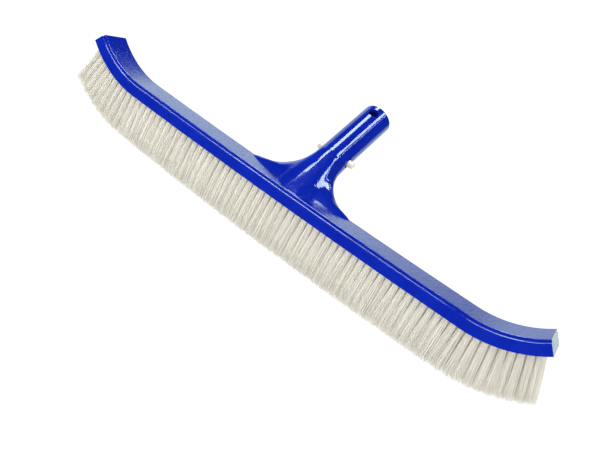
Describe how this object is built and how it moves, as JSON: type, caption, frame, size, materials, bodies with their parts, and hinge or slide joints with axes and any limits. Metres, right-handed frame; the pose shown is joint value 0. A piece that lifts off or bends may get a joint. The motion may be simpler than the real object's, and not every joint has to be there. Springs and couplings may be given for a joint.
{
  "type": "pool wall brush",
  "caption": "Curved pool wall brush with upturned ends, dense upright bristles, and an angled hollow handle stub with two sprung locking buttons for a pole.",
  "frame": {"origin": "on the bristle tip plane, at the tips of the middle tuft of the centre row", "axes": "+X along the brush from one upturned end to the other, +Y towards the side that the handle leans to, +Z from the bristle tips up through the back"},
  "size_m": [0.4812, 0.122, 0.1272],
  "materials": {
    "blue_plastic": "glossy moulded polypropylene, cobalt blue",
    "bristle": "off-white nylon filament",
    "anchor_metal": "flat tinned wire",
    "spring_steel": "bright stainless spring strip",
    "button_plastic": "cream white moulded plastic"
  },
  "bodies": {
    "brush": {"brush_back": "blue_plastic", "tufts_front_row_left": "bristle", "anchors_front_row_left": "anchor_metal", "tufts_front_row_middle": "bristle", "anchors_front_row_middle": "anchor_metal", "tufts_front_row_right": "bristle", "anchors_front_row_right": "anchor_metal", "tufts_second_row_left": "bristle", "anchors_second_row_left": "anchor_metal", "tufts_second_row_middle": "bristle", "anchors_second_row_middle": "anchor_metal", "tufts_second_row_right": "bristle", "anchors_second_row_right": "anchor_metal", "tufts_centre_row_left": "bristle", "anchors_centre_row_left": "anchor_metal", "tufts_centre_row_middle": "bristle", "anchors_centre_row_middle": "anchor_metal", "tufts_centre_row_right": "bristle", "anchors_centre_row_right": "anchor_metal", "tufts_fourth_row_left": "bristle", "anchors_fourth_row_left": "anchor_metal", "tufts_fourth_row_middle": "bristle", "anchors_fourth_row_middle": "anchor_metal", "tufts_fourth_row_right": "bristle", "anchors_fourth_row_right": "anchor_metal", "tufts_rear_row_left": "bristle", "anchors_rear_row_left": "anchor_metal", "tufts_rear_row_middle": "bristle", "anchors_rear_row_middle": "anchor_metal", "tufts_rear_row_right": "bristle", "anchors_rear_row_right": "anchor_metal", "clip_bend": "spring_steel"},
    "leg_left": {"clip_leg_left": "spring_steel", "button_left": "button_plastic"},
    "leg_right": {"clip_leg_right": "spring_steel", "button_right": "button_plastic"}
  },
  "joints": [
    {"name": "button_right_press", "type": "hinge", "parent": "brush", "child": "leg_right", "pos_m": [0.00315, 0.08394, 0.10514], "axis": [0, 0.5948, -0.8039], "range_deg": [0, 7.8], "stiffness_Nm_per_rad": 3},
    {"name": "button_left_press", "type": "hinge", "parent": "brush", "child": "leg_left", "pos_m": [-0.00315, 0.08394, 0.10514], "axis": [0, -0.5948, 0.8039], "range_deg": [0, 7.8], "stiffness_Nm_per_rad": 3}
  ]
}
